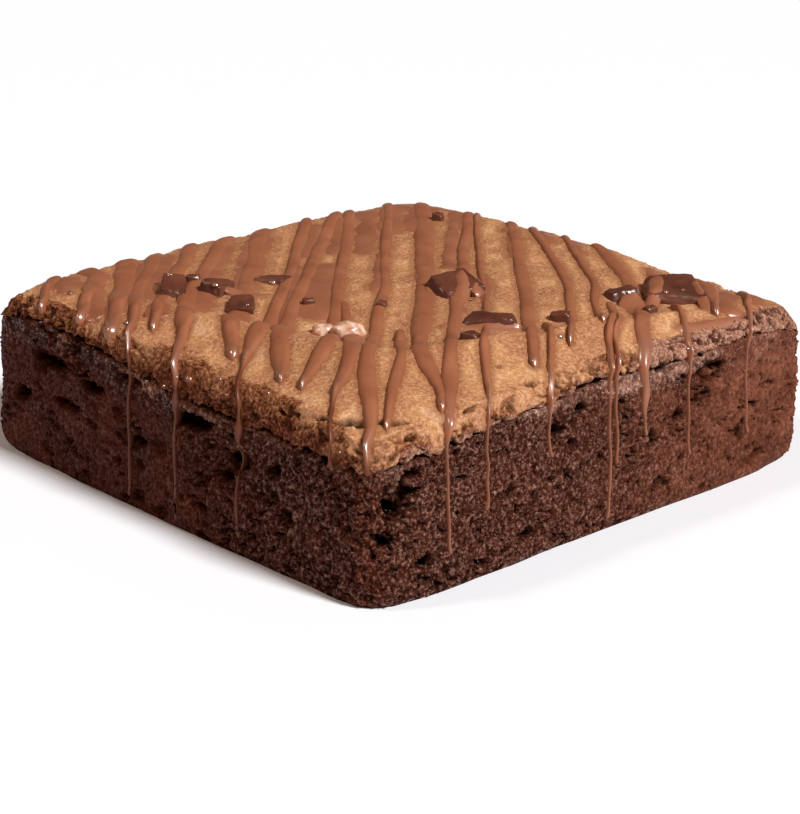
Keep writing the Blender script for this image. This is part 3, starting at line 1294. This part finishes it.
# Beads of chocolate that hung on the lip or dripped beside a line: place and radius.
BEADS = [
    ((-25.4, -33.6, 24.7), 0.7),
    ((-12.7, -36.7, 23.7), 0.7),
    ((-10.4, -37.8, 23.2), 0.6),
    ((-5.4, -39.3, 20.8), 0.5),
    ((-6.4, -39.2, 18.4), 0.6),
    ((-4.7, -39.4, 18.1), 0.6),
    ((1.8, -39.6, 20.3), 0.7),
    ((4.3, -39.5, 20.7), 0.7),
    ((-0.4, -39.5, 18.6), 0.5),
    ((9.5, -38.6, 21.8), 0.5),
    ((12.0, -39.2, 20.4), 0.5),
    ((18.6, -38.2, 22.2), 0.4),
    ((30.0, -39.0, 19.6), 0.5),
    ((33.0, -39.0, 18.8), 0.5),
    ((38.0, 3.5, 22.6), 0.6),
    ((36.4, 9.8, 23.3), 0.8),
    ((39.3, 7.8, 21.5), 0.8),
    ((39.4, 16.3, 20.8), 0.8),
    ((39.0, 22.6, 21.0), 0.5),
    ((-28.0, -35.1, 24.3), 0.6),
    ((-20.7, -23.4, 26.1), 0.7),
    ((-14.1, -20.7, 25.5), 0.7),
    ((-11.7, -20.2, 24.1), 0.4),
    ((-5.6, -21.8, 24.8), 0.4),
    ((-11.7, -12.5, 24.7), 0.7),
    ((-19.8, -11.3, 24.4), 0.4),
    ((8.8, 4.8, 25.7), 0.5),
    ((11.9, 3.2, 24.3), 0.6),
    ((25.9, 19.2, 25.1), 0.6),
    ((28.7, 20.4, 23.3), 0.6),
    ((28.0, 24.6, 24.6), 0.6),
    ((29.1, 26.9, 24.7), 0.5),
    ((32.7, -1.4, 24.9), 0.5),
]

for spot, radius in BEADS:
    # A bead on top is set from above, and one on a side from outside.
    inwards = -UP if spot[2] > LIP_HEIGHT else (0, 0, 14) - np.array(spot)
    start = Vector(spot - inwards / np.linalg.norm(inwards) * 8)
    found, normal = skins_and_chunks.ray_cast(start, Vector(inwards))[:2]
    turn = Vector(normal).to_track_quat("Z", "Y").to_matrix()
    points, faces = worn_block((0, 0, 0), (radius * 0.7, radius * 0.6, radius * 0.4), 0.0, 0.9, 0.05)
    points = points @ np.array(turn).T + np.array(found)
    keep(points, faces, np.ones(len(points)), np.full(len(points), 0.7))
drizzle = make_piece(
    "milk_chocolate_drizzle_lines",
    np.concatenate(drizzle_points),
    drizzle_faces,
    wet=np.concatenate(wetness),
    film=np.concatenate(thinness),
)
drizzle.data.materials.append(milk_chocolate)
print(f"{len(BEADS)} beads, {len(drizzle.data.polygons)} faces of drizzle in all")

# %% [markdown]
# Warm chocolate sheds a little cocoa butter, and the dry dough beside it drinks that up. So the
# cookie darkens softly next to every line. Each point of its skin keeps a number for this, from
# the distance to the nearest point of the drizzle.

# %% Stain the dough beside the drizzle
SOAK_REACH = 1.1

drizzle_tree = KDTree(len(drizzle.data.vertices))
for k, vertex in enumerate(drizzle.data.vertices):
    drizzle_tree.insert(vertex.co, k)
drizzle_tree.balance()
gaps = np.array([drizzle_tree.find(vertex.co)[2] for vertex in cookie_skin.data.vertices]) / MM
layer = cookie_skin.data.attributes.new("soaked", "FLOAT", "POINT")
layer.data.foreach_set("value", np.clip(1 - gaps / SOAK_REACH, 0, 1).astype(np.float32))
print(f"{int((gaps < SOAK_REACH).sum())} points of dough darkened")

# %% [markdown]
# ## Small chips and a sugary lump
#
# Besides the large chunks there are chips a few millimetres across, sunk into the dough. A chip is
# a block with worn corners: a sphere whose points are pushed out towards the faces of a box, then
# dented. The same function with rounder settings makes the pale sugary lump near the crest.

# %% Make the chips
# Place across the sweep and along it, half sizes, turn.
CHIPS = [
    (4.9, -37.0, (0.9, 0.7, 0.9), 0.4),
    (-11.4, 9.2, (0.8, 0.6, 0.6), 1.0),
    (-1.4, 10.2, (0.7, 0.6, 0.6), 2.0),
    (22.4, 13.6, (1.3, 0.9, 0.8), 0.7),
    (10.6, 27.4, (1.2, 0.9, 0.8), 0.5),
    (-23.6, 3.4, (0.8, 0.6, 0.6), 0.2),
    (34.6, 9.4, (0.9, 0.7, 0.7), 1.4),
    (-28.4, -1.0, (1.0, 0.8, 0.7), 0.9),
]
LUMPS = [(-5.3, 20.2, (2.3, 1.7, 1.5), 0.8), (-8.6, 19.2, (1.6, 1.3, 1.1), 0.8)]


def set_in_dough(name, blocks, lifts, corners, dent, look):
    """One piece of worn blocks, each with its centre lifted this far off the dough."""
    points, faces = [], []
    for (across, along, half_sizes, turn), lift in zip(blocks, lifts):
        centre = on_top(*(along * SWEEP + across * ASIDE)) + UP * lift
        block, block_faces = worn_block(centre, half_sizes, turn, corners, dent)
        faces += [[len(points) + k for k in face] for face in block_faces]
        points += block.tolist()
    piece = make_piece(name, points, faces)
    piece.data.materials.append(look)
    print(f"{name}: {len(blocks)} blocks")
    return piece


chip_lifts = [half_sizes[2] * 0.35 for _, _, half_sizes, _ in CHIPS]
chips = set_in_dough("dark_chocolate_chips", CHIPS, chip_lifts, 0.4, 0.07, dark_chocolate)

# %% [markdown]
# The lump is dough that kept its sugar: pale, mottled with amber, and glazed where the sugar
# melted, so it has a thin clear coat.

# %% Sugary dough material, and the lump
sugar_glaze, tree, place = new_material("sugary_dough_glaze")
mottled = add(tree, NOISE, [place, per_mm(0.9), 4])
pale = add(tree, RAMP, [mottled], [(0.35, "A8765C"), (0.5, "C89A82"), (0.65, "E6C8B6")])
finish = {"Base Color": pale, "Roughness": 0.3, "Coat Weight": 0.6, "Coat Roughness": 0.1}
dress(tree, finish)
sugar_lump = set_in_dough("sugary_dough_lump", LUMPS, (0.3, 0.3), 0.9, 0.04, sugar_glaze)

# %% [markdown]
# ## Crumbs
#
# Cutting a brownie drags crumbs loose, and they cling to the moist sides. They are scattered
# over the walls by a node tree as small uneven grains, about a fifth to half a millimetre across.
# Each is an icosphere of twenty faces, because there are thousands of them.

# %% Crumb scatter tree
SCATTER = {"Per square mm": 1.5, "Smallest": 0.09, "Largest": 0.24}
FULL_TURN = 6.28
tree, size = shape_tree("crumb_scatter", SCATTER)
rough, hollow = (add(tree, NAMED, [name]) for name in ("rough", "hollow"))
on_wall = add(tree, "FunctionNodeCompare", [rough, 0.3], operation="GREATER_THAN")
proud = add(tree, "FunctionNodeCompare", [hollow, 0.25], operation="LESS_THAN")
spots = {
    "Mesh": size["Geometry"],
    "Selection": add(tree, "FunctionNodeBooleanMath", [on_wall, proud], operation="AND"),
    "Density": add(tree, MATH, [size["Per square mm"], MM**-2], operation="MULTIPLY"),
    "Seed": 5,
}
radius = {"Min": size["Smallest"], "Max": size["Largest"], "Seed": 6}
turned = {"Min": (0, 0, 0), "Max": (FULL_TURN, FULL_TURN, FULL_TURN), "Seed": 8}
grains = {
    "Points": add(tree, "GeometryNodeDistributePointsOnFaces", spots),
    "Instance": add(tree, "GeometryNodeMeshIcoSphere", {"Radius": MM, "Subdivisions": 1}),
    "Rotation": add(tree, "FunctionNodeRandomValue", turned, data_type="FLOAT_VECTOR"),
    "Scale": add(tree, "FunctionNodeRandomValue", radius, data_type="FLOAT"),
}
placed = add(tree, "GeometryNodeInstanceOnPoints", grains)
whole = add(tree, "GeometryNodeRealizeInstances", [placed])
place = add(tree, "GeometryNodeInputPosition")
dents = add(tree, NOISE, {"Vector": place, "Scale": per_mm(0.4)}).outputs["Color"]
dents = add(tree, VECTOR, [dents, (0.5, 0.5, 0.5)], operation="SUBTRACT")
dents = add(tree, VECTOR, [dents, 0.3 * MM], operation="SCALE")
uneven = add(tree, "GeometryNodeSetPosition", {"Geometry": whole, "Offset": dents})
soft = add(tree, "GeometryNodeSetShadeSmooth", {"Geometry": uneven, "Shade Smooth": True})
finish_tree(tree, soft, brownie_crumb)

crumbs = place_in_scene("brownie_crumbs", brownie_skin.data.copy())
run_tree(crumbs, tree, SCATTER)

# %% [markdown]
# ## Keep every piece within the box
#
# The relief and the drizzle stand a hair proud of the solids in places. The object's outer size
# is the solids' size, so any point that strayed past their box is set back onto it.

# %% Set points back onto the box
pieces = [brownie_skin, cookie_skin, drizzle, crumbs, chips, sugar_lump, *chunks]
for piece in pieces:
    places = np.empty(len(piece.data.vertices) * 3)
    piece.data.vertices.foreach_get("co", places)
    places = places.reshape(-1, 3)
    inside = np.clip(places, LOW * MM, HIGH * MM)
    print(f"{piece.name}: furthest set back {abs(places - inside).max() / MM:.2f} mm")
    piece.data.vertices.foreach_set("co", inside.ravel())
    piece.data.update()

# %% [markdown]
# ## Floor and light
#
# A pale floor, and one broad key light from the right, so the right side is lit and the left side
# lies in shade. A faint second light from the left front gives the shaded drips their glints, and
# warm soft light from all round keeps the shaded side readable.

# %% Floor, lights and world
FLOOR_HALF = 2.0

floor_mesh = bpy.data.meshes.new("floor")
floor_corners = [(x * FLOOR_HALF, y * FLOOR_HALF, 0) for x, y in ((-1, -1), (1, -1), (1, 1), (-1, 1))]
floor_mesh.from_pydata(floor_corners, [], [(0, 1, 2, 3)])
floor = place_in_scene("floor", floor_mesh)
paper, tree, _ = new_material("white_paper")
dress(tree, {"Base Color": srgb("EFF4FC"), "Roughness": 0.9})
floor_mesh.materials.append(paper)


def far_light(name, towards, strength, spread, code):
    """A light so far away that it falls evenly, coming from a direction, as wide as its spread."""
    light = place_in_scene(name, bpy.data.lights.new(name, "SUN"))
    light.data.energy = strength
    light.data.angle = math.radians(spread)
    light.data.color = srgb(code)[:3]
    light.rotation_euler = Vector(towards).to_track_quat("Z", "Y").to_euler()


far_light("key", (0.72, 0.1, 0.69), 4.2, 12, "FFFDFA")
far_light("glint", (-0.3, -0.55, 0.8), 0.6, 8, "FFE8D6")
world = bpy.data.worlds.new("studio")
world.use_nodes = True
background = world.node_tree.nodes["Background"]
background.inputs["Color"].default_value = srgb("FFD6BA")
background.inputs["Strength"].default_value = 0.16
bpy.context.scene.world = world
bpy.context.scene.view_settings.view_transform = "Standard"
print("lit")

# %% [markdown]
# ## Hand over
#
# Each piece rides on the one body, stands for the solids it covers and takes its finish from
# the record.

# %% Ride, replace and finish
for piece in pieces:
    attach(piece, "root")
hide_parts("brownie_base")
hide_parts("cookie_layer")
for node, chunk in zip(chunk_nodes, chunks):
    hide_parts(node.name)
